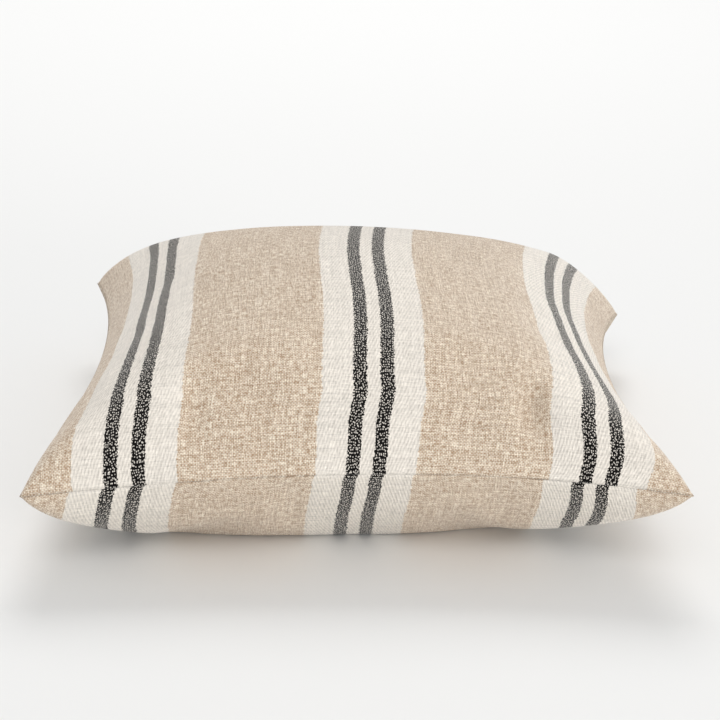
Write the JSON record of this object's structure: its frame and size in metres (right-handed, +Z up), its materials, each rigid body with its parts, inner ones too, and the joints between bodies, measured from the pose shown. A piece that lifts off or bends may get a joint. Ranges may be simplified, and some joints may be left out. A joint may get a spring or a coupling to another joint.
{
  "type": "throw pillow",
  "caption": "Square knife-edge throw pillow in striped woven cloth, lying flat, with a zipped removable cover round a filled insert",
  "frame": {"origin": "on the floor under the centre of the pillow, which lies on its back panel", "axes": "+Z up out of the front panel, +Y to the zipped edge, stripes along Y, +X to the end where the zip is closed"},
  "size_m": [0.49, 0.49, 0.17],
  "materials": {
    "striped_cloth": "woven cotton and linen, beige with white and black stripes",
    "cotton_thread": "spun sewing thread",
    "zip_tape": "woven polyester zip tape",
    "nylon_coil": "nylon monofilament coil",
    "nickel_zinc": "nickel-plated die-cast zinc",
    "satin_label": "blank woven satin",
    "insert_lining": "plain white cotton cambric",
    "fibre_fill": "loose fibre filling"
  },
  "bodies": {
    "pillow": {"cover_front_panel": "striped_cloth", "cover_back_panel": "striped_cloth", "seam_thread_front": "cotton_thread", "seam_thread_left": "cotton_thread", "seam_thread_right": "cotton_thread", "overlock_thread_front": "cotton_thread", "overlock_thread_left": "cotton_thread", "overlock_thread_right": "cotton_thread", "zip_tape_upper": "zip_tape", "zip_tape_lower": "zip_tape", "zip_coil_upper": "nylon_coil", "zip_coil_lower": "nylon_coil", "zip_stitching_upper": "cotton_thread", "zip_stitching_lower": "cotton_thread", "zip_top_stop_upper": "nickel_zinc", "zip_top_stop_lower": "nickel_zinc", "zip_bottom_stop": "nickel_zinc", "zip_bar_tacks": "cotton_thread", "insert_front_panel": "insert_lining", "insert_back_panel": "insert_lining", "insert_fill": "fibre_fill", "insert_seam_thread": "cotton_thread", "insert_closing_stitches": "cotton_thread", "care_label": "satin_label", "insert_label": "satin_label"},
    "zip_slider": {"zip_slider_body": "nickel_zinc"},
    "zip_pull": {"zip_pull_tab": "nickel_zinc"}
  },
  "joints": [
    {"name": "zip_run", "type": "hinge", "parent": "pillow", "child": "zip_slider", "pos_m": [0, 1.30288, 0.068], "axis": [0, 0, -1], "range_deg": [0, 17.96]},
    {"name": "pull_swing", "type": "hinge", "parent": "zip_slider", "child": "zip_pull", "pos_m": [0.16914, 0.23258, 0.068], "axis": [0, 0, -1], "range_deg": [0, 175]}
  ]
}
